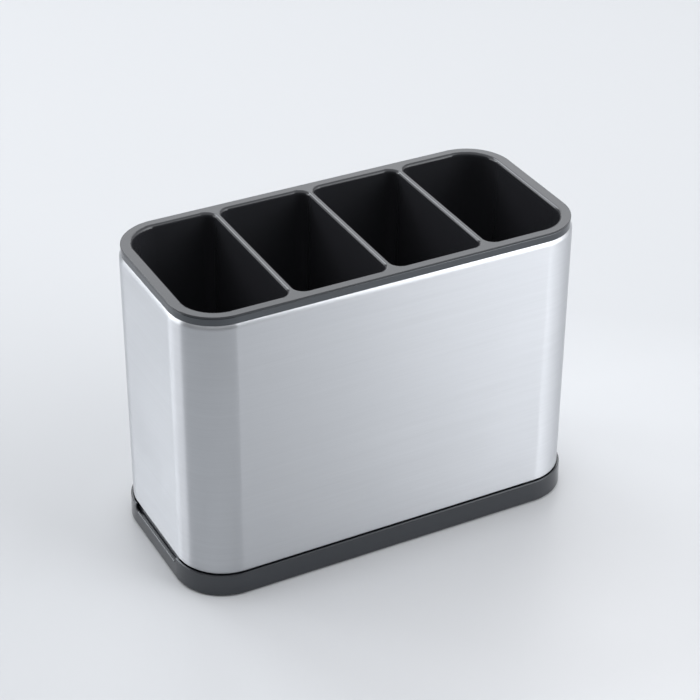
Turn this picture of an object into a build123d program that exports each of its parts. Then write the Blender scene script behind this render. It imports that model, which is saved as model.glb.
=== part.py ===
from build123d import *
import os

os.makedirs("parts", exist_ok=True)

# Cutlery holder, four compartments. Millimetres, Z up, X along the length, the front at -Y.
# The origin is the centre of the footprint on the surface that the feet stand on.

# Sleeve: a bent and closed strip of stainless sheet
sleeve_length = 236.0
sleeve_depth = 111.8
sleeve_corner_radius = 27.0
sleeve_height = 156.0
sheet_thickness = 0.6
roll_radius = 4.2
lip_width = 0.3
hem_height = 4.0
seam_lap_width = 8.0

# Base tray: the moulding that the sleeve stands on
base_proud = 1.4
skirt_flare = 0.4
shoulder_height = 13.5
skirt_height = 13.0
skirt_lip_thickness = 0.9
skirt_bottom_radius = 0.8
skirt_top_radius = 0.35
groove_depth = 5.2
shoulder_inset = 0.4
spigot_height = 11.0
spigot_thickness = 1.8
spigot_clearance = 0.4
base_wall = 1.6
tray_floor_thickness = 2.0
tray_recess = 2.0
rib_thickness = 1.6
rib_depth = 1.4
long_rib_count = 2
cross_rib_count = 5
notch_length = 55.0
notch_depth = 4.1
notch_corner_radius = 2.5
notch_edge_radius = 0.45

# Rubber feet, let into the underside of the base
foot_radius = 7.0
foot_thickness = 2.0
foot_protrusion = 0.6
foot_clearance = 0.3
foot_edge_radius = 0.4
foot_from_end = 28.0
foot_from_side = 24.0
boss_wall = 1.8

# Collar: the ring that covers the sleeve's rolled edge
collar_inset = 1.0
collar_height = 2.7
collar_edge_radius = 0.5
collar_roll_clearance = 0.15
tongue_clearance = 0.15
tongue_thickness = 0.9
tongue_length = 5.0
barb_length = 10.0
barb_height = 1.4
barb_reach = 0.6
barb_clearance = 0.2
long_side_barbs = 3
barb_pitch = 60.0

# Insert: the flange, dividers and wells, one moulding
flange_inset = 0.96
flange_thickness = 1.0
flange_edge_radius = 0.25
long_rim_width = 7.0
end_rim_width = 7.8
well_count = 4
divider_width = 4.0
divider_bar_depth = 6.0
divider_corner_radius = 6.0
end_corner_radius = 19.0
mouth_radius = 1.9
well_wall = 1.3
well_draft = 2.5
well_floor_thickness = 1.8
well_floor_radius = 3.0
tray_gap = 9.6
slot_count = 4
slot_pitch = 10.0
slot_length = 62.0
slot_width = 3.5

# Levels and spacings that follow from those sizes
base_bottom = foot_protrusion
skirt_top = base_bottom + skirt_height
sleeve_bottom = base_bottom + shoulder_height
sleeve_top = sleeve_bottom + sleeve_height
groove_bottom = skirt_top - groove_depth
tray_floor_bottom = base_bottom + tray_recess
tray_floor_top = tray_floor_bottom + tray_floor_thickness
spigot_top = sleeve_bottom + spigot_height
spigot_inset = 2 * sheet_thickness + spigot_clearance
spigot_inner_inset = spigot_inset + spigot_thickness
groove_outer_inset = skirt_lip_thickness - base_proud
lip_inset = roll_radius + lip_width
collar_top = sleeve_top + collar_height
tongue_inset = lip_inset + tongue_clearance
tongue_inner_inset = tongue_inset + tongue_thickness
flange_top = collar_top + flange_thickness
well_floor_bottom = tray_floor_top + tray_gap
well_floor_top = well_floor_bottom + well_floor_thickness
well_depth = sleeve_depth - 2 * long_rim_width
well_width = (sleeve_length - 2 * end_rim_width - (well_count - 1) * divider_width) / well_count
well_pitch = well_width + divider_width
foot_x = sleeve_length / 2 - foot_from_end
foot_y = sleeve_depth / 2 - foot_from_side
inner_length = sleeve_length - 2 * spigot_inner_inset
inner_depth = sleeve_depth - 2 * spigot_inner_inset


def holder_outline(inset, mode=Mode.ADD):
    """Draws the sleeve's rounded outline, moved inwards by inset, or outwards where it is negative."""
    radius = sleeve_corner_radius - inset
    RectangleRounded(sleeve_length - 2 * inset, sleeve_depth - 2 * inset, radius, mode=mode)


def slab(inset, bottom, top, mode=Mode.ADD):
    """Adds or cuts a slab with the sleeve's outline between two levels."""
    with BuildSketch(Plane.XY.offset(bottom)) as outline:
        holder_outline(inset)
    extrude(outline.sketch, amount=top - bottom, mode=mode)


def ring(outer_inset, inner_inset, bottom, top, mode=Mode.ADD):
    """Adds or cuts a straight-walled ring that follows the sleeve's outline between two levels."""
    with BuildSketch(Plane.XY.offset(bottom)) as outline:
        holder_outline(outer_inset)
        holder_outline(inner_inset, mode=Mode.SUBTRACT)
    extrude(outline.sketch, amount=top - bottom, mode=mode)


def well_centre(index):
    """Gives the X of a well's middle, counted from the left."""
    return (index - (well_count - 1) / 2) * well_pitch


def well_outline(index, grow, height):
    """Makes one well's rounded outline at a height, grown outwards by grow on every side."""
    left_radius = end_corner_radius if index == 0 else divider_corner_radius
    right_radius = end_corner_radius if index == well_count - 1 else divider_corner_radius
    with BuildSketch(Plane.XY.offset(height)) as outline:
        with Locations((well_centre(index), 0)):
            Rectangle(well_width + 2 * grow, well_depth + 2 * grow)
        fillet(outline.vertices().group_by(Axis.X)[0], left_radius + grow)
        fillet(outline.vertices().group_by(Axis.X)[-1], right_radius + grow)
    return outline.sketch


# Steel sleeve: the space inside the sheet, with the inner radius of the rolled edge
with BuildPart() as sleeve_hollow:
    slab(sheet_thickness, sleeve_bottom, sleeve_top - sheet_thickness)
    fillet(sleeve_hollow.faces().sort_by(Axis.Z)[-1].edges(), roll_radius - sheet_thickness)

# Steel sleeve: outer skin with its rolled edge, opened at the top, with the bottom edge folded up inside
with BuildPart() as steel_sleeve:
    slab(0, sleeve_bottom, sleeve_top)
    fillet(steel_sleeve.faces().sort_by(Axis.Z)[-1].edges(), roll_radius)
    add(sleeve_hollow.part, mode=Mode.SUBTRACT)
    slab(lip_inset, sleeve_top - sheet_thickness, sleeve_top, mode=Mode.SUBTRACT)
    ring(sheet_thickness, 2 * sheet_thickness, sleeve_bottom, sleeve_bottom + hem_height)
    # Lap: the strip's end laid inside its start and welded, down the middle of the back
    with Locations((0, sleeve_depth / 2 - sheet_thickness, sleeve_bottom)):
        Box(seam_lap_width, sheet_thickness, sleeve_height - roll_radius,
            align=(Align.CENTER, Align.MAX, Align.MIN))
steel_sleeve.part.label = "steel_sleeve"

# Collar: the shape of the rolled edge that the collar is seated over
with BuildPart() as roll_seat:
    slab(-collar_roll_clearance, sleeve_bottom, sleeve_top)
    fillet(roll_seat.faces().sort_by(Axis.Z)[-1].edges(), roll_radius + collar_roll_clearance)

# Collar: a ring on the lip, its skirt over the roll and its tongue inside the lip
with BuildPart() as top_collar:
    ring(collar_inset, tongue_inner_inset, sleeve_top - roll_radius, collar_top)
    collar_top_face = top_collar.faces().sort_by(Axis.Z)[-1]
    fillet(collar_top_face.outer_wire().edges(), collar_edge_radius)
    add(roll_seat.part, mode=Mode.SUBTRACT)
    ring(tongue_inset, tongue_inner_inset, sleeve_top - tongue_length, collar_top)
    # Barbs on the tongue that catch under the lip, three on each long side and one on each short side
    barb_top = sleeve_top - sheet_thickness - barb_clearance
    barb_y = sleeve_depth / 2 - tongue_inset
    barb_x = sleeve_length / 2 - tongue_inset
    barb_size = 2 * barb_reach
    with Locations((0, barb_y, barb_top), (0, -barb_y, barb_top)):
        with GridLocations(barb_pitch, 0, long_side_barbs, 1):
            Box(barb_length, barb_size, barb_height, align=(Align.CENTER, Align.CENTER, Align.MAX))
    with Locations((barb_x, 0, barb_top), (-barb_x, 0, barb_top)):
        Box(barb_size, barb_length, barb_height, align=(Align.CENTER, Align.CENTER, Align.MAX))
top_collar.part.label = "top_collar"

# Insert: flange plate with four drafted wells below it, then the wells are hollowed from above
with BuildPart() as compartment_insert:
    slab(flange_inset, collar_top, flange_top)
    for index in range(well_count):
        loft([
            well_outline(index, well_wall - well_draft, well_floor_bottom),
            well_outline(index, well_wall, collar_top),
        ])
    # Bars that close the slots between neighbouring wells just under the dividers' tops
    divider_xs = [(well_centre(index) + well_centre(index + 1)) / 2 for index in range(well_count - 1)]
    with Locations([(x, 0, collar_top) for x in divider_xs]):
        Box(divider_width, well_depth, divider_bar_depth, align=(Align.CENTER, Align.CENTER, Align.MAX))
    for index in range(well_count):
        loft([
            well_outline(index, -well_draft, well_floor_top),
            well_outline(index, 0, flange_top),
        ], mode=Mode.SUBTRACT)
    flange_face = compartment_insert.faces().sort_by(Axis.Z)[-1]
    mouth_edges = [edge for wire in flange_face.inner_wires() for edge in wire.edges()]
    fillet(mouth_edges, mouth_radius)
    flange_face = compartment_insert.faces().sort_by(Axis.Z)[-1]
    fillet(flange_face.outer_wire().edges(), flange_edge_radius)
    # Rounded corner between each well's walls and its floor
    well_floors = compartment_insert.faces().filter_by(Axis.Z).filter_by(
        lambda face: abs(face.center().Z - well_floor_top) < well_floor_thickness / 2
        and face.normal_at().Z > 0
    )
    fillet(well_floors.edges(), well_floor_radius)
    # Drain slots through the floors
    with BuildSketch(Plane.XY.offset(well_floor_bottom)):
        with Locations([(well_centre(index), 0) for index in range(well_count)]):
            with GridLocations(slot_pitch, 0, slot_count, 1):
                SlotOverall(slot_length, slot_width, rotation=90)
    extrude(amount=well_floor_thickness, mode=Mode.SUBTRACT)
compartment_insert.part.label = "compartment_insert"

# Base: one moulding with skirt, shadow groove, shoulder, spigot and tray floor
foot_places = {
    "front_left_foot": (-foot_x, -foot_y),
    "front_right_foot": (foot_x, -foot_y),
    "rear_left_foot": (-foot_x, foot_y),
    "rear_right_foot": (foot_x, foot_y),
}
pocket_radius = foot_radius + foot_clearance
with BuildPart() as base_tray:
    with BuildSketch(Plane.XY.offset(base_bottom)):
        holder_outline(-base_proud - skirt_flare)
    with BuildSketch(Plane.XY.offset(skirt_top)):
        holder_outline(-base_proud)
    loft()
    fillet(base_tray.faces().sort_by(Axis.Z)[0].edges(), skirt_bottom_radius)
    fillet(base_tray.faces().sort_by(Axis.Z)[-1].edges(), skirt_top_radius)
    slab(shoulder_inset, base_bottom + skirt_bottom_radius, sleeve_bottom)
    slab(spigot_inset, base_bottom + skirt_bottom_radius, spigot_top)
    slab(spigot_inner_inset, tray_floor_top, spigot_top, mode=Mode.SUBTRACT)
    # Groove between the skirt's lip and the shoulder
    ring(groove_outer_inset, shoulder_inset, groove_bottom, skirt_top, mode=Mode.SUBTRACT)
    # Hollow underside: the recess under the tray floor and the channel inside the skirt
    slab(spigot_inner_inset, base_bottom, tray_floor_bottom, mode=Mode.SUBTRACT)
    ring(base_wall - base_proud, spigot_inner_inset - base_wall, base_bottom,
         groove_bottom - base_wall, mode=Mode.SUBTRACT)
    # Stiffening ribs under the tray floor
    rib_top = tray_floor_bottom
    rib_align = (Align.CENTER, Align.CENTER, Align.MAX)
    with Locations((0, 0, rib_top)):
        with GridLocations(0, inner_depth / (long_rib_count + 1), 1, long_rib_count):
            Box(inner_length, rib_thickness, rib_depth, align=rib_align)
        with GridLocations(inner_length / (cross_rib_count + 1), 0, cross_rib_count, 1):
            Box(rib_thickness, inner_depth, rib_depth, align=rib_align)
    # Bosses round the feet and the pockets that hold them
    with BuildSketch(Plane.XY.offset(base_bottom)):
        with Locations(*foot_places.values()):
            Circle(pocket_radius + boss_wall)
    extrude(amount=tray_recess)
    with BuildSketch(Plane.XY.offset(base_bottom)):
        with Locations(*foot_places.values()):
            Circle(pocket_radius)
    extrude(amount=foot_thickness - foot_protrusion, mode=Mode.SUBTRACT)
    # Finger notches: the skirt's lip cut down on both short sides
    notch_x = sleeve_length / 2 + base_proud - skirt_lip_thickness
    notch_reach = 2 * skirt_lip_thickness
    with BuildSketch(Plane.YZ.offset(notch_x), Plane.YZ.offset(-notch_x - notch_reach)):
        with Locations((0, skirt_top)):
            RectangleRounded(notch_length, 2 * notch_depth, notch_corner_radius)
    extrude(amount=notch_reach, mode=Mode.SUBTRACT)
    # The notches' lower outer edges are rounded for the fingertip
    notch_floor = skirt_top - notch_depth
    fillet(base_tray.edges().filter_by(
        lambda edge: abs(edge.center().Z - notch_floor) < 0.01
        and abs(edge.center().X) > sleeve_length / 2 + base_proud), notch_edge_radius)
base_tray.part.label = "base_tray"

# Feet: rubber discs with a rounded lower edge
feet = {}
for foot_name, (x, y) in foot_places.items():
    with BuildPart() as foot:
        with BuildSketch(Plane.XY):
            with Locations((x, y)):
                Circle(foot_radius)
        extrude(amount=foot_thickness)
        fillet(foot.faces().sort_by(Axis.Z)[0].edges(), foot_edge_radius)
    foot.part.label = foot_name
    feet[foot_name] = foot.part

for piece in (steel_sleeve.part, top_collar.part, compartment_insert.part, base_tray.part, *feet.values()):
    print(piece.label, round(piece.volume), piece.is_valid)
export_step(steel_sleeve.part, "parts/steel_sleeve.step")
export_step(top_collar.part, "parts/top_collar.step")
export_step(compartment_insert.part, "parts/compartment_insert.step")
export_step(base_tray.part, "parts/base_tray.step")
for foot_name, foot_part in feet.items():
    export_step(foot_part, f"parts/{foot_name}.step")
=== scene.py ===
import math

import bpy
from mathutils import Matrix, Vector


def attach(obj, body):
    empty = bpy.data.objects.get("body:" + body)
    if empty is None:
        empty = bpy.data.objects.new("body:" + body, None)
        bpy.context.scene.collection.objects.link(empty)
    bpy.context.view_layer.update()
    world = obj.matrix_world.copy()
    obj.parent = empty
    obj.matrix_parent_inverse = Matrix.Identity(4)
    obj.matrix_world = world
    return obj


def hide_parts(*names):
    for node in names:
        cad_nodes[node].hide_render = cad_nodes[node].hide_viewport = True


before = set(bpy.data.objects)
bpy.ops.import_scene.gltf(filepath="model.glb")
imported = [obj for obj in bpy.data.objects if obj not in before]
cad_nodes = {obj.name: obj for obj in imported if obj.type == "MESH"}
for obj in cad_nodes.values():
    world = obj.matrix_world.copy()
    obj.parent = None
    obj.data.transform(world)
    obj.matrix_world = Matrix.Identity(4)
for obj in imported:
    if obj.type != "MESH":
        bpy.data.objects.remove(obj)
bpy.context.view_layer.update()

mm = 0.001

# Camera
# The photograph looks down on the holder's front left corner from a little over a metre away.
# The lens, the place and the slight roll were solved together with the holder's proportions.
image_px = 700
focal_px = 2088.5
view_azimuth = math.radians(-27.685)
view_elevation = math.radians(32.068)
view_roll = math.radians(0.255)
view_distance = 1167.4 * mm
look_at = Vector((0.0, 0.0, 70.1 * mm))
shift_right = 1.21 * mm
shift_up = 22.37 * mm
view_back = Vector((math.sin(view_azimuth) * math.cos(view_elevation),
                    -math.cos(view_azimuth) * math.cos(view_elevation),
                    math.sin(view_elevation)))
level_right = Vector((math.cos(view_azimuth), math.sin(view_azimuth), 0.0))
level_up = view_back.cross(level_right)
view_right = math.cos(view_roll) * level_right + math.sin(view_roll) * level_up
view_up = -math.sin(view_roll) * level_right + math.cos(view_roll) * level_up
lens = bpy.data.cameras.new("camera")
lens.sensor_width = 36.0
lens.lens = focal_px / image_px * lens.sensor_width
camera = bpy.data.objects.new("camera", lens)
bpy.context.scene.collection.objects.link(camera)
camera_place = look_at + view_back * view_distance + view_right * shift_right + view_up * shift_up
camera_axes = Matrix((view_right, view_up, view_back)).transposed().to_4x4()
camera.matrix_world = Matrix.Translation(camera_place) @ camera_axes
bpy.context.scene.camera = camera

# Rubber feet
# Four soft black discs, moulded in rubber and pressed into round pockets under the base.
# Each has a raised rim and raised rings on the face that grips the worktop.
foot_radius = 7.0 * mm
foot_thickness = 2.0 * mm
foot_edge = 0.4 * mm
foot_groove_depth = 0.35 * mm
foot_grooves = ((5.6 * mm, 5.1 * mm), (3.9 * mm, 3.4 * mm), (2.2 * mm, 1.7 * mm))
foot_groove_slope = 0.1 * mm
foot_rim_low = 6.1 * mm
foot_rim_top = 6.2 * mm
foot_edge_cut = 0.12 * mm
foot_steps = 48
foot_sharp_angle = 40
feet_apart_x = 180.0 * mm
feet_apart_y = 63.8 * mm
rubber_dark = (0.018, 0.018, 0.019, 1.0)
rubber_bloomed = (0.040, 0.040, 0.041, 1.0)


def turned_mesh(name, profile, steps):
    """Turns a profile of (radius, height) points, which starts and ends on the axis, into a closed mesh."""
    points = [(0.0, 0.0, profile[0][1])]
    for radius, height in profile[1:-1]:
        for step in range(steps):
            turn = 2 * math.pi * step / steps
            points.append((radius * math.cos(turn), radius * math.sin(turn), height))
    points.append((0.0, 0.0, profile[-1][1]))
    rings = len(profile) - 2
    faces = []
    for step in range(steps):
        after = (step + 1) % steps
        faces.append((0, 1 + after, 1 + step))
        for ring in range(rings - 1):
            low, high = 1 + ring * steps, 1 + (ring + 1) * steps
            faces.append((low + step, low + after, high + after, high + step))
        last = 1 + (rings - 1) * steps
        faces.append((last + step, last + after, len(points) - 1))
    mesh = bpy.data.meshes.new(name)
    mesh.from_pydata(points, [], faces)
    return mesh


def place(tree, kind, inputs=None, **settings):
    """Adds a node to a tree, changes its settings, and feeds its inputs with values or other outputs."""
    node = tree.nodes.new(kind)
    for setting, value in settings.items():
        setattr(node, setting, value)
    for name, value in (inputs or {}).items():
        if isinstance(value, bpy.types.NodeSocket):
            tree.links.new(value, node.inputs[name])
        else:
            node.inputs[name].default_value = value
    return node


def shaping_tree(name, sizes):
    """Starts a Geometry Nodes tree with one named input for each size, and gives its first and last nodes."""
    tree = bpy.data.node_groups.new(name, "GeometryNodeTree")
    tree.interface.new_socket("Geometry", in_out="INPUT", socket_type="NodeSocketGeometry")
    tree.interface.new_socket("Finish", in_out="INPUT", socket_type="NodeSocketMaterial")
    for size_name, value in sizes.items():
        kind = "NodeSocketInt" if isinstance(value, int) else "NodeSocketFloat"
        tree.interface.new_socket(size_name, in_out="INPUT", socket_type=kind)
    tree.interface.new_socket("Geometry", in_out="OUTPUT", socket_type="NodeSocketGeometry")
    return tree, tree.nodes.new("NodeGroupInput"), tree.nodes.new("NodeGroupOutput")


def finish_shape(tree, last_node, geometry, given):
    """Ends a shaping tree in plain geometry that carries its material."""
    plain = place(tree, "GeometryNodeRealizeInstances", {"Geometry": geometry})
    dressed = place(tree, "GeometryNodeSetMaterial",
                    {"Geometry": plain.outputs["Geometry"], "Material": given.outputs["Finish"]})
    tree.links.new(dressed.outputs["Geometry"], last_node.inputs["Geometry"])


def run_tree(name, start_mesh, tree, finish, sizes):
    """Runs a shaping tree on a mesh and keeps the result as a plain mesh on an object of its own."""
    piece = bpy.data.objects.new(name, start_mesh)
    bpy.context.scene.collection.objects.link(piece)
    modifier = piece.modifiers.new("shape", "NODES")
    modifier.node_group = tree
    given = dict(sizes, Finish=finish)
    for socket in tree.interface.items_tree:
        if socket.in_out == "INPUT" and socket.name in given:
            modifier[socket.identifier] = given[socket.name]
    keep_result(piece, modifier)
    piece.data.materials.clear()
    piece.data.materials.append(finish)
    piece.data.polygons.foreach_set("material_index", [0] * len(piece.data.polygons))
    return piece


def keep_result(piece, modifier):
    """Turns what a modifier makes into the piece's own plain mesh, and takes the modifier off."""
    seen = bpy.context.evaluated_depsgraph_get()
    made = bpy.data.meshes.new_from_object(piece.evaluated_get(seen), preserve_all_data_layers=True,
                                           depsgraph=seen)
    piece.modifiers.remove(modifier)
    piece.data = made
    made.name = piece.name


def smooth_shading(piece, sharp_angle):
    """Shades a piece smoothly, with flat faces kept flat and sharp edges past an angle in degrees."""
    piece.data.shade_smooth()
    piece.data.set_sharp_from_angle(angle=math.radians(sharp_angle))
    flat_first = piece.modifiers.new("flat_first", "WEIGHTED_NORMAL")
    flat_first.keep_sharp = True
    keep_result(piece, flat_first)


def new_finish(name):
    """Starts a material and gives it with its node tree and its main shader."""
    material = bpy.data.materials.new(name)
    material.use_nodes = True
    return material, material.node_tree, material.node_tree.nodes["Principled BSDF"]


rubber, rubber_tree, rubber_shader = new_finish("black_rubber")
rubber_place = place(rubber_tree, "ShaderNodeTexCoord").outputs["Object"]
rubber_grit = place(rubber_tree, "ShaderNodeTexNoise",
                    {"Vector": rubber_place, "Scale": 2600.0, "Detail": 3.0})
rubber_bloom = place(rubber_tree, "ShaderNodeTexNoise",
                     {"Vector": rubber_place, "Scale": 160.0, "Detail": 4.0})
rubber_tone = place(rubber_tree, "ShaderNodeMix",
                    {"Factor": rubber_bloom.outputs["Fac"], "A": rubber_dark, "B": rubber_bloomed},
                    data_type="RGBA")
rubber_dull = place(rubber_tree, "ShaderNodeMapRange",
                    {"Value": rubber_bloom.outputs["Fac"], "To Min": 0.62, "To Max": 0.82})
rubber_bump = place(rubber_tree, "ShaderNodeBump",
                    {"Height": rubber_grit.outputs["Fac"], "Strength": 0.35, "Distance": 0.05 * mm})
rubber_tree.links.new(rubber_tone.outputs["Result"], rubber_shader.inputs["Base Color"])
rubber_tree.links.new(rubber_dull.outputs["Result"], rubber_shader.inputs["Roughness"])
rubber_tree.links.new(rubber_bump.outputs["Normal"], rubber_shader.inputs["Normal"])

foot_profile = [(0.0, foot_groove_depth)]
for outer, inner in reversed(foot_grooves):
    foot_profile += [(inner, foot_groove_depth), (inner + foot_groove_slope, 0.0),
                     (outer - foot_groove_slope, 0.0), (outer, foot_groove_depth)]
foot_profile += [(foot_rim_low, foot_groove_depth), (foot_rim_top, 0.0),
                 (foot_radius - foot_edge, 0.0), (foot_radius - foot_edge_cut, foot_edge_cut),
                 (foot_radius, foot_edge), (foot_radius, foot_thickness), (0.0, foot_thickness)]
feet_sizes = {"Apart along length": feet_apart_x, "Apart along depth": feet_apart_y}
feet_tree, feet_given, feet_last = shaping_tree("feet_at_the_corners", feet_sizes)
corners = place(feet_tree, "GeometryNodeMeshGrid",
                {"Size X": feet_given.outputs["Apart along length"],
                 "Size Y": feet_given.outputs["Apart along depth"], "Vertices X": 2, "Vertices Y": 2})
feet_on_corners = place(feet_tree, "GeometryNodeInstanceOnPoints",
                        {"Points": corners.outputs["Mesh"], "Instance": feet_given.outputs["Geometry"]})
finish_shape(feet_tree, feet_last, feet_on_corners.outputs["Instances"], feet_given)
foot_mesh = turned_mesh("foot", foot_profile, foot_steps)
feet = run_tree("non_slip_feet", foot_mesh, feet_tree, rubber, feet_sizes)
smooth_shading(feet, foot_sharp_angle)
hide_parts("front_left_foot", "front_right_foot", "rear_left_foot", "rear_right_foot")
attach(feet, "base")

# Base tray
# One black plastic moulding, with the skirt and its shadow groove outside and the drip tray inside.
# It is shot in a polished tool, so it is semi-gloss with a faint grain, and a little dust settles in it.
base_colour = (0.014, 0.015, 0.019, 1.0)
base_highlight = (0.92, 0.965, 1.0, 1.0)
dust_colour = (0.22, 0.22, 0.21, 1.0)
uneven_gloss = 0.08
grain_strength = 0.25


def moulded_skin_group():
    """Makes the surface that all the black mouldings share: fine grain, uneven gloss and a little dust."""
    group = bpy.data.node_groups.new("moulded_skin", "ShaderNodeTree")
    for name, kind in (("Colour", "NodeSocketColor"), ("Dust colour", "NodeSocketColor"),
                       ("Dust", "NodeSocketFloat"), ("Dullness", "NodeSocketFloat"),
                       ("Uneven gloss", "NodeSocketFloat"), ("Grain per metre", "NodeSocketFloat")):
        group.interface.new_socket(name, in_out="INPUT", socket_type=kind)
    for name, kind in (("Colour", "NodeSocketColor"), ("Roughness", "NodeSocketFloat"),
                       ("Height", "NodeSocketFloat")):
        group.interface.new_socket(name, in_out="OUTPUT", socket_type=kind)
    given = group.nodes.new("NodeGroupInput")
    last = group.nodes.new("NodeGroupOutput")
    where = place(group, "ShaderNodeTexCoord").outputs["Object"]
    facing = place(group, "ShaderNodeSeparateXYZ",
                   {"Vector": place(group, "ShaderNodeNewGeometry").outputs["Normal"]})
    grain = place(group, "ShaderNodeTexNoise",
                  {"Vector": where, "Scale": given.outputs["Grain per metre"], "Detail": 2.0})
    clouds = place(group, "ShaderNodeTexNoise", {"Vector": where, "Scale": 55.0, "Detail": 3.0})
    specks = place(group, "ShaderNodeTexVoronoi", {"Vector": where, "Scale": 420.0, "Randomness": 1.0})
    speck = place(group, "ShaderNodeMapRange",
                  {"Value": specks.outputs["Distance"], "From Min": 0.05, "From Max": 0.12, "To Min": 0.5,
                   "To Max": 0.0})
    upward = place(group, "ShaderNodeMapRange",
                   {"Value": facing.outputs["Z"], "From Min": 0.3, "From Max": 1.0})
    film = place(group, "ShaderNodeMapRange",
                 {"Value": clouds.outputs["Fac"], "From Min": 0.35, "From Max": 0.75, "To Min": 0.1,
                  "To Max": 0.6})
    settled = place(group, "ShaderNodeMath", {0: film.outputs["Result"], 1: speck.outputs["Result"]},
                    operation="ADD")
    lying = place(group, "ShaderNodeMath", {0: settled.outputs["Value"], 1: upward.outputs["Result"]},
                  operation="MULTIPLY")
    dust = place(group, "ShaderNodeMath", {0: lying.outputs["Value"], 1: given.outputs["Dust"]},
                 operation="MULTIPLY", use_clamp=True)
    colour = place(group, "ShaderNodeMix",
                   {"Factor": dust.outputs["Value"], "A": given.outputs["Colour"],
                    "B": given.outputs["Dust colour"]}, data_type="RGBA")
    centred = place(group, "ShaderNodeMath", {0: clouds.outputs["Fac"], 1: 0.5}, operation="SUBTRACT")
    uneven = place(group, "ShaderNodeMath",
                   {0: centred.outputs["Value"], 1: given.outputs["Uneven gloss"],
                    2: given.outputs["Dullness"]}, operation="MULTIPLY_ADD")
    duller = place(group, "ShaderNodeMath", {0: dust.outputs["Value"], 1: 0.5, 2: uneven.outputs["Value"]},
                   operation="MULTIPLY_ADD", use_clamp=True)
    group.links.new(colour.outputs["Result"], last.inputs["Colour"])
    group.links.new(duller.outputs["Value"], last.inputs["Roughness"])
    group.links.new(grain.outputs["Fac"], last.inputs["Height"])
    return group


moulded_skin = moulded_skin_group()


def black_plastic(name, colour, dullness, dust, grain_per_metre, grain_depth, refraction, highlight):
    """Makes the finish of one black moulding from the shared moulded skin."""
    material, tree, shader = new_finish(name)
    skin = place(tree, "ShaderNodeGroup", node_tree=moulded_skin)
    skin.inputs["Colour"].default_value = colour
    skin.inputs["Dust colour"].default_value = dust_colour
    skin.inputs["Dust"].default_value = dust
    skin.inputs["Dullness"].default_value = dullness
    skin.inputs["Uneven gloss"].default_value = uneven_gloss
    skin.inputs["Grain per metre"].default_value = grain_per_metre
    grain = place(tree, "ShaderNodeBump",
                  {"Height": skin.outputs["Height"], "Strength": grain_strength, "Distance": grain_depth})
    tree.links.new(skin.outputs["Colour"], shader.inputs["Base Color"])
    tree.links.new(skin.outputs["Roughness"], shader.inputs["Roughness"])
    tree.links.new(grain.outputs["Normal"], shader.inputs["Normal"])
    shader.inputs["IOR"].default_value = refraction
    shader.inputs["Specular Tint"].default_value = highlight
    return material


def give_finish(node, material):
    """Puts a material on a piece that comes from the CAD model."""
    node.data.materials.clear()
    node.data.materials.append(material)


base_skin = black_plastic("base_plastic_skin", colour=base_colour, dullness=0.13, dust=0.05,
                          grain_per_metre=3200.0, grain_depth=0.02 * mm, refraction=1.7,
                          highlight=base_highlight)
give_finish(cad_nodes["base_tray"], base_skin)

# Steel sleeve
# One strip of 0.6 mm stainless sheet, brushed along its length, then bent to a rounded rectangle.
# The top edge is rolled inwards and the bottom edge is folded up. The ends meet in a hairline at the
# back, spot-welded to a narrow strip behind them.
sleeve_length = 236.0 * mm
sleeve_depth = 111.8 * mm
sleeve_corner = 27.0 * mm
sleeve_bottom = 14.1 * mm
sleeve_top = 170.1 * mm
sheet = 0.6 * mm
roll_radius = 4.2 * mm
lip_inset = 4.5 * mm
hem_height = 4.0 * mm
fold_radius = 0.55 * mm
joint_gap = 0.25 * mm
lap_width = 8.0 * mm
lap_top = 165.9 * mm
hem_clearance = 0.02 * mm
cut_edge = 0.1 * mm
corner_steps = 20
sleeve_sharp_angle = 35
steel_dark = (0.566, 0.582, 0.604, 1.0)
steel_bright = (0.649, 0.668, 0.693, 1.0)
heat_tint = (0.50, 0.44, 0.36, 1.0)


def tree_join(tree, *shapes):
    """Joins the shapes that a tree has made so far."""
    join = tree.nodes.new("GeometryNodeJoinGeometry")
    for shape in shapes:
        tree.links.new(shape, join.inputs["Geometry"])
    return join.outputs["Geometry"]


def arc_points(centre_in, centre_up, radius, start, end, steps):
    """Gives the points of an arc in a profile, as (inset, height), with its angles in degrees."""
    points = []
    for step in range(steps + 1):
        turn = math.radians(start + (end - start) * step / steps)
        points.append((centre_in + radius * math.cos(turn), centre_up + radius * math.sin(turn)))
    return points


# The sheet's cross-section, as (inset from the outer face, height), goes once round from the hem's foot.
# The sweep lays a profile's second axis downwards, so the heights go in with their sign turned.
inner_roll = roll_radius - sheet
sheet_profile = [(2 * sheet, sleeve_bottom + fold_radius), (2 * sheet, sleeve_bottom + hem_height)]
sheet_profile += [(sheet + hem_clearance, sleeve_bottom + hem_height),
                  (sheet, sleeve_bottom + hem_height + cut_edge)]
sheet_profile += arc_points(roll_radius, sleeve_top - roll_radius, inner_roll, start=180, end=90, steps=10)
sheet_profile += [(lip_inset, sleeve_top - sheet)]
sheet_profile += [(lip_inset, sleeve_top - cut_edge), (lip_inset - cut_edge, sleeve_top)]
sheet_profile += arc_points(roll_radius, sleeve_top - roll_radius, roll_radius, start=90, end=180, steps=14)
sheet_profile += arc_points(fold_radius, sleeve_bottom + fold_radius, fold_radius,
                            start=180, end=270, steps=5)
sheet_profile += arc_points(2 * sheet - fold_radius, sleeve_bottom + fold_radius, fold_radius,
                            start=270, end=345, steps=4)
profile_mesh = bpy.data.meshes.new("sheet_profile")
profile_mesh.from_pydata([(inset, -height, 0.0) for inset, height in sheet_profile],
                         [(step, (step + 1) % len(sheet_profile)) for step in range(len(sheet_profile))], [])
profile_line = bpy.data.objects.new("sheet_profile", profile_mesh)
bpy.context.scene.collection.objects.link(profile_line)

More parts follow.
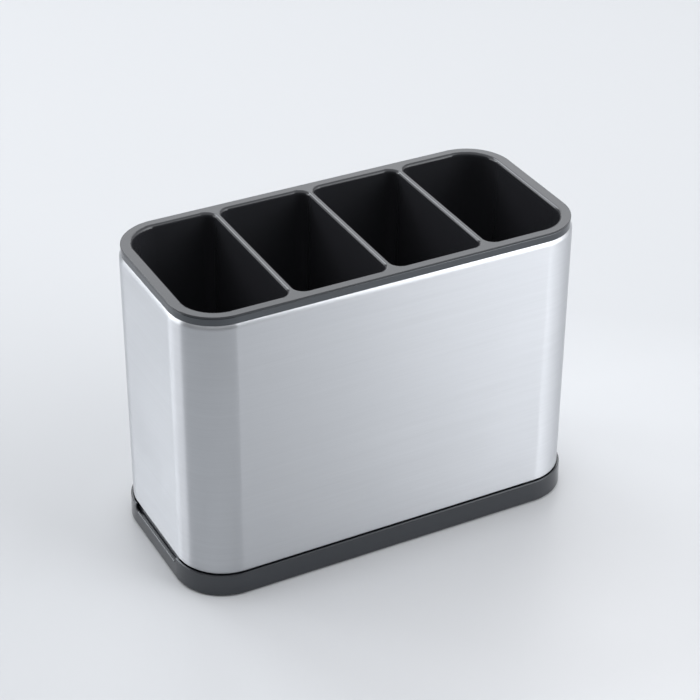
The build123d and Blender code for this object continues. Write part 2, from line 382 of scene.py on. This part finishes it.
# The strip's path: from the joint at the middle of the back, round the four corners and back again
half_length, half_depth, half_gap = sleeve_length / 2, sleeve_depth / 2, joint_gap / 2
strip_path = [(half_gap, half_depth), (half_length, half_depth), (half_length, -half_depth),
              (-half_length, -half_depth), (-half_length, half_depth), (-half_gap, half_depth)]
strip_mesh = bpy.data.meshes.new("strip_path")
strip_mesh.from_pydata([(x, y, 0.0) for x, y in strip_path],
                       [(step, step + 1) for step in range(len(strip_path) - 1)], [])

steel, steel_tree, steel_shader = new_finish("brushed_stainless")
steel_uv = place(steel_tree, "ShaderNodeUVMap", uv_map="UVMap")
steel_shader.inputs["Metallic"].default_value = 1.0
steel_shader.inputs["Anisotropic"].default_value = 1.0
steel_shader.inputs["Anisotropic Rotation"].default_value = 0.25


def brushing(lines_per_metre, length_per_metre, detail):
    """Makes a noise drawn out along the strip, as a belt leaves it."""
    drawn = place(steel_tree, "ShaderNodeMapping", {"Vector": steel_uv.outputs["UV"],
                                                    "Scale": (length_per_metre, lines_per_metre, 1.0)})
    return place(steel_tree, "ShaderNodeTexNoise", {"Vector": drawn.outputs["Vector"], "Scale": 1.0,
                                                    "Detail": detail}, noise_dimensions="2D").outputs["Fac"]


fine_lines = brushing(lines_per_metre=3200.0, length_per_metre=24.0, detail=3.0)
broad_lines = brushing(lines_per_metre=420.0, length_per_metre=5.0, detail=4.0)
handling = place(steel_tree, "ShaderNodeTexNoise",
                 {"Vector": place(steel_tree, "ShaderNodeTexCoord").outputs["Object"], "Scale": 26.0,
                  "Detail": 3.0}).outputs["Fac"]
both_lines = place(steel_tree, "ShaderNodeMix", {"Factor": 0.45, "A": fine_lines, "B": broad_lines})
steel_tone = place(steel_tree, "ShaderNodeMix",
                   {"Factor": both_lines.outputs["Result"], "A": steel_dark, "B": steel_bright},
                   data_type="RGBA")
steel_rough = place(steel_tree, "ShaderNodeMapRange",
                    {"Value": both_lines.outputs["Result"], "From Min": 0.25, "From Max": 0.75,
                     "To Min": 0.31, "To Max": 0.34})
steel_smudge = place(steel_tree, "ShaderNodeMapRange",
                     {"Value": handling, "From Min": 0.35, "From Max": 0.7, "To Min": -0.012,
                      "To Max": 0.018})
steel_dull = place(steel_tree, "ShaderNodeMath",
                   {0: steel_rough.outputs["Result"], 1: steel_smudge.outputs["Result"]}, operation="ADD")
steel_bump = place(steel_tree, "ShaderNodeBump",
                   {"Height": both_lines.outputs["Result"], "Strength": 0.12, "Distance": 0.01 * mm})
# The weld at the back leaves a narrow straw-coloured line on each side of the joint
steel_along = place(steel_tree, "ShaderNodeSeparateXYZ",
                    {"Vector": place(steel_tree, "ShaderNodeTexCoord").outputs["Object"]})
from_joint = place(steel_tree, "ShaderNodeMath", {0: steel_along.outputs["X"]}, operation="ABSOLUTE")
at_joint = place(steel_tree, "ShaderNodeMapRange",
                 {"Value": from_joint.outputs["Value"], "From Min": 0.2 * mm, "From Max": 1.1 * mm,
                  "To Min": 0.7, "To Max": 0.0})
at_back = place(steel_tree, "ShaderNodeMath", {0: steel_along.outputs["Y"], 1: 0.0}, operation="GREATER_THAN")
heat_mask = place(steel_tree, "ShaderNodeMath", {0: at_joint.outputs["Result"], 1: at_back.outputs["Value"]},
                  operation="MULTIPLY")
heated = place(steel_tree, "ShaderNodeMix",
               {"Factor": heat_mask.outputs["Value"], "A": steel_tone.outputs["Result"], "B": heat_tint},
               data_type="RGBA")
steel_tree.links.new(heated.outputs["Result"], steel_shader.inputs["Base Color"])
steel_tree.links.new(steel_dull.outputs["Value"], steel_shader.inputs["Roughness"])
steel_tree.links.new(steel_bump.outputs["Normal"], steel_shader.inputs["Normal"])
steel_grain = place(steel_tree, "ShaderNodeTangent", direction_type="UV_MAP", uv_map="UVMap")
steel_tree.links.new(steel_grain.outputs["Tangent"], steel_shader.inputs["Tangent"])

sleeve_sizes = {"Corner radius": sleeve_corner, "Corner steps": corner_steps, "Lap width": lap_width,
                "Lap thickness": sheet, "Lap bottom": sleeve_bottom + hem_height, "Lap top": lap_top,
                "Lap face": half_depth - sheet}
sleeve_tree, sleeve_given, sleeve_last = shaping_tree("bent_sheet", sleeve_sizes)
path_curve = place(sleeve_tree, "GeometryNodeMeshToCurve", {"Mesh": sleeve_given.outputs["Geometry"]})
bent = place(sleeve_tree, "GeometryNodeFilletCurve",
             {"Curve": path_curve.outputs["Curve"], "Radius": sleeve_given.outputs["Corner radius"],
              "Count": sleeve_given.outputs["Corner steps"]}, mode="POLY")
upright = place(sleeve_tree, "GeometryNodeSetCurveNormal", {"Curve": bent.outputs["Curve"]}, mode="Z_UP")
along = place(sleeve_tree, "GeometryNodeStoreNamedAttribute",
              {"Geometry": upright.outputs["Curve"], "Name": "along_strip",
               "Value": place(sleeve_tree, "GeometryNodeSplineParameter").outputs["Length"]},
              data_type="FLOAT", domain="POINT")
section = place(sleeve_tree, "GeometryNodeObjectInfo", {"Object": profile_line})
section_curve = place(sleeve_tree, "GeometryNodeMeshToCurve", {"Mesh": section.outputs["Geometry"]})
across = place(sleeve_tree, "GeometryNodeStoreNamedAttribute",
               {"Geometry": section_curve.outputs["Curve"], "Name": "across_strip",
                "Value": place(sleeve_tree, "GeometryNodeSplineParameter").outputs["Length"]},
               data_type="FLOAT", domain="POINT")
swept = place(sleeve_tree, "GeometryNodeCurveToMesh",
              {"Curve": along.outputs["Geometry"], "Profile Curve": across.outputs["Geometry"],
               "Fill Caps": True})
strip_uv = place(sleeve_tree, "ShaderNodeCombineXYZ",
                 {"X": place(sleeve_tree, "GeometryNodeInputNamedAttribute", {"Name": "along_strip"},
                             data_type="FLOAT").outputs["Attribute"],
                  "Y": place(sleeve_tree, "GeometryNodeInputNamedAttribute", {"Name": "across_strip"},
                             data_type="FLOAT").outputs["Attribute"]})
outwards = place(sleeve_tree, "GeometryNodeFlipFaces", {"Mesh": swept.outputs["Mesh"]})
mapped = place(sleeve_tree, "GeometryNodeStoreNamedAttribute",
               {"Geometry": outwards.outputs["Mesh"], "Name": "UVMap", "Value": strip_uv.outputs["Vector"]},
               data_type="FLOAT2", domain="CORNER")
lap_height = place(sleeve_tree, "ShaderNodeMath",
                   {0: sleeve_given.outputs["Lap top"], 1: sleeve_given.outputs["Lap bottom"]},
                   operation="SUBTRACT")
lap_size = place(sleeve_tree, "ShaderNodeCombineXYZ",
                 {"X": sleeve_given.outputs["Lap width"], "Y": sleeve_given.outputs["Lap thickness"],
                  "Z": lap_height.outputs["Value"]})
lap_strip = place(sleeve_tree, "GeometryNodeMeshCube", {"Size": lap_size.outputs["Vector"]})
lap_y = place(sleeve_tree, "ShaderNodeMath",
              {0: sleeve_given.outputs["Lap thickness"], 1: -0.5, 2: sleeve_given.outputs["Lap face"]},
              operation="MULTIPLY_ADD")
lap_z = place(sleeve_tree, "ShaderNodeMath",
              {0: lap_height.outputs["Value"], 1: 0.5, 2: sleeve_given.outputs["Lap bottom"]},
              operation="MULTIPLY_ADD")
lap_centre = place(sleeve_tree, "ShaderNodeCombineXYZ",
                   {"Y": lap_y.outputs["Value"], "Z": lap_z.outputs["Value"]})
lap_placed = place(sleeve_tree, "GeometryNodeTransform",
                   {"Geometry": lap_strip.outputs["Mesh"], "Translation": lap_centre.outputs["Vector"]})
lap_where = place(sleeve_tree, "ShaderNodeSeparateXYZ",
                  {"Vector": place(sleeve_tree, "GeometryNodeInputPosition").outputs["Position"]})
lap_flat = place(sleeve_tree, "ShaderNodeCombineXYZ",
                 {"X": lap_where.outputs["X"], "Y": lap_where.outputs["Z"]})
lap_mapped = place(sleeve_tree, "GeometryNodeStoreNamedAttribute",
                   {"Geometry": lap_placed.outputs["Geometry"], "Name": "UVMap",
                    "Value": lap_flat.outputs["Vector"]}, data_type="FLOAT2", domain="CORNER")
sheet_and_lap = tree_join(sleeve_tree, mapped.outputs["Geometry"], lap_mapped.outputs["Geometry"])
finish_shape(sleeve_tree, sleeve_last, sheet_and_lap, sleeve_given)
sleeve = run_tree("brushed_sleeve", strip_mesh, sleeve_tree, steel, sleeve_sizes)
smooth_shading(sleeve, sleeve_sharp_angle)
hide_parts("steel_sleeve")
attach(sleeve, "casing")
bpy.data.objects.remove(profile_line)

# Top collar
# A black plastic ring that snaps over the sleeve's rolled edge and covers the sheet's raw lip.
# It comes from the same press as the insert, and only its thin side face and upper edge show.
collar_colour = (0.020, 0.022, 0.027, 1.0)
collar_highlight = (0.9, 0.96, 1.0, 1.0)
collar_skin = black_plastic("collar_plastic_skin", colour=collar_colour, dullness=0.11, dust=0.04,
                            grain_per_metre=3600.0, grain_depth=0.015 * mm, refraction=1.82,
                            highlight=collar_highlight)
give_finish(cad_nodes["top_collar"], collar_skin)

# Compartment insert
# One black plastic moulding that drops into the sleeve: a flat flange, three dividers and four wells.
# The tool's polish leaves it semi-gloss, so its rounded mouths draw thin bright lines.
insert_colour = (0.028, 0.029, 0.033, 1.0)
insert_highlight = (0.95, 0.98, 1.0, 1.0)
insert_skin = black_plastic("insert_plastic_skin", colour=insert_colour, dullness=0.1, dust=0.06,
                            grain_per_metre=3600.0, grain_depth=0.015 * mm, refraction=1.53,
                            highlight=insert_highlight)
give_finish(cad_nodes["compartment_insert"], insert_skin)

# Floor
# A pale, slightly glossy sweep of coated board, which isn't part of the object.
# A soft pool of painted light brightens the board in front of the holder, over the shadow that the soft boxes
# cast there.
floor_half = 6.0
board_edge_colour = (0.568, 0.584, 0.600, 1.0)
# The paler middle colour is painted light, laid on the board in front of the holder.
board_painted_light_colour = (0.755, 0.771, 0.787, 1.0)
board_roughness = 0.3
board_gloss = 0.25
floor_mesh = bpy.data.meshes.new("floor")
floor_mesh.from_pydata([(-floor_half, -floor_half, 0.0), (floor_half, -floor_half, 0.0),
                        (floor_half, floor_half, 0.0), (-floor_half, floor_half, 0.0)], [], [(0, 1, 2, 3)])
floor = bpy.data.objects.new("floor", floor_mesh)
bpy.context.scene.collection.objects.link(floor)

board, board_tree, board_shader = new_finish("pale_board")


def painted_light_spot(middle_x, middle_y, radius):
    """Gives a mask of painted light on the floor that fades out evenly from a point."""
    where = place(board_tree, "ShaderNodeTexCoord").outputs["Object"]
    centred = place(board_tree, "ShaderNodeMapping",
                    {"Vector": where, "Location": (-middle_x / radius, -middle_y / radius, 0.0),
                     "Scale": (1 / radius, 1 / radius, 0.0)})
    return place(board_tree, "ShaderNodeTexGradient", {"Vector": centred.outputs["Vector"]},
                 gradient_type="SPHERICAL").outputs["Fac"]


# Painted light: the board is lighter in a soft spot in front of the holder, where the lamps' shadow falls.
painted_light_in_front = painted_light_spot(middle_x=70 * mm, middle_y=-170 * mm, radius=320 * mm)
board_tone_with_painted_light = place(board_tree, "ShaderNodeMix",
                   {"Factor": painted_light_in_front, "A": board_edge_colour, "B": board_painted_light_colour},
                   data_type="RGBA")
board_tree.links.new(board_tone_with_painted_light.outputs["Result"], board_shader.inputs["Base Color"])
board_shader.inputs["Roughness"].default_value = board_roughness
board_shader.inputs["Specular IOR Level"].default_value = board_gloss
floor.data.materials.append(board)

# Studio light
# White walls stand to the left and right, with a dark gap behind the camera and a softer white ceiling.
# Four soft boxes draw the bright edges on the plastic and on the steel's rolled edge.
# Each wall tone goes with its bearing in degrees, from the front (0) towards the left (90).
wall_tones = ((-180, 0.65), (-160, 0.5), (-115, 0.55), (-94, 1.05), (-80, 1.65), (-72, 2.05),
              (-60, 2.7), (-44, 2.85), (-37, 3.3), (-32.2, 3.15), (-28.8, 3.4), (-25.9, 2.65),
              (-24.6, 0.0), (60, 0.0), (101.2, 0.0), (102.7, 2.3), (125, 2.3), (138, 1.5),
              (150, 0.8), (158, 0.3), (180, 0.5))
brightest = 3.4
ceiling_tone = 0.97
blue_share = 1.02
backdrop_colour = (0.85, 0.88, 0.90)
box_colour = (0.97, 0.99, 1.02)
box_aim = Vector((0.0, 0.0, 100 * mm))
box_distance = 3.4
walls_end = math.sin(math.radians(24))
ceiling_starts = math.sin(math.radians(56))


def room_colour(tone):
    """Gives a wall's faintly blue white as a share of the brightest tone."""
    return (tone / brightest, tone / brightest, blue_share * tone / brightest, 1.0)


studio = bpy.data.worlds.new("studio")
bpy.context.scene.world = studio
studio.use_nodes = True
studio_tree = studio.node_tree
toward = place(studio_tree, "ShaderNodeSeparateXYZ",
               {"Vector": place(studio_tree, "ShaderNodeTexCoord").outputs["Generated"]})
west = place(studio_tree, "ShaderNodeMath", {0: toward.outputs["X"], 1: -1.0}, operation="MULTIPLY")
south = place(studio_tree, "ShaderNodeMath", {0: toward.outputs["Y"], 1: -1.0}, operation="MULTIPLY")
bearing = place(studio_tree, "ShaderNodeMath", {0: west.outputs["Value"], 1: south.outputs["Value"]},
                operation="ARCTAN2")
round_room = place(studio_tree, "ShaderNodeMapRange",
                   {"Value": bearing.outputs["Value"], "From Min": -math.pi, "From Max": math.pi})
walls = place(studio_tree, "ShaderNodeValToRGB", {"Fac": round_room.outputs["Result"]})
wall_ramp = walls.color_ramp
wall_ramp.elements.remove(wall_ramp.elements[1])
wall_ramp.elements[0].position = 0.0
for degrees, tone in wall_tones:
    stop = wall_ramp.elements.new((degrees + 180) / 360)
    stop.color = room_colour(tone)
wall_ramp.elements[0].color = wall_ramp.elements[1].color
overhead = place(studio_tree, "ShaderNodeMapRange",
                 {"Value": toward.outputs["Z"], "From Min": walls_end, "From Max": ceiling_starts},
                 interpolation_type="SMOOTHSTEP")
room = place(studio_tree, "ShaderNodeMix",
             {"Factor": overhead.outputs["Result"], "A": walls.outputs["Color"],
              "B": room_colour(ceiling_tone)}, data_type="RGBA")
backdrop = place(studio_tree, "ShaderNodeMix",
                 {"Factor": place(studio_tree, "ShaderNodeLightPath").outputs["Is Camera Ray"],
                  "A": room.outputs["Result"],
                  "B": (*(share / brightest for share in backdrop_colour), 1.0)}, data_type="RGBA")
backdrop_light = studio_tree.nodes["Background"]
studio_tree.links.new(backdrop.outputs["Result"], backdrop_light.inputs["Color"])
backdrop_light.inputs["Strength"].default_value = brightest


def soft_box(name, bearing_degrees, height_degrees, size, glow):
    """Hangs a soft box at a bearing from the front towards the left, and turns it to the object."""
    bearing_angle, height_angle = math.radians(bearing_degrees), math.radians(height_degrees)
    direction = Vector((-math.sin(bearing_angle) * math.cos(height_angle),
                        -math.cos(bearing_angle) * math.cos(height_angle), math.sin(height_angle)))
    light = bpy.data.lights.new(name, "AREA")
    light.shape = "RECTANGLE"
    light.size, light.size_y = size
    light.energy = glow * size[0] * size[1] * math.pi
    light.color = box_colour
    box = bpy.data.objects.new(name, light)
    bpy.context.scene.collection.objects.link(box)
    box.matrix_world = (Matrix.Translation(box_aim + direction * box_distance)
                        @ direction.to_track_quat("Z", "Y").to_matrix().to_4x4())
    box.visible_camera = False


soft_box("rear_right_box", bearing_degrees=-152, height_degrees=33, size=(2.8, 1.8), glow=1.6)
soft_box("rear_left_box", bearing_degrees=137, height_degrees=24, size=(0.9, 0.7), glow=7.0)
soft_box("rear_high_box", bearing_degrees=166, height_degrees=42, size=(1.1, 1.1), glow=6.5)
soft_box("front_right_box", bearing_degrees=-42, height_degrees=38, size=(1.4, 2.9), glow=1.2)

bpy.context.scene.view_settings.view_transform = "Standard"
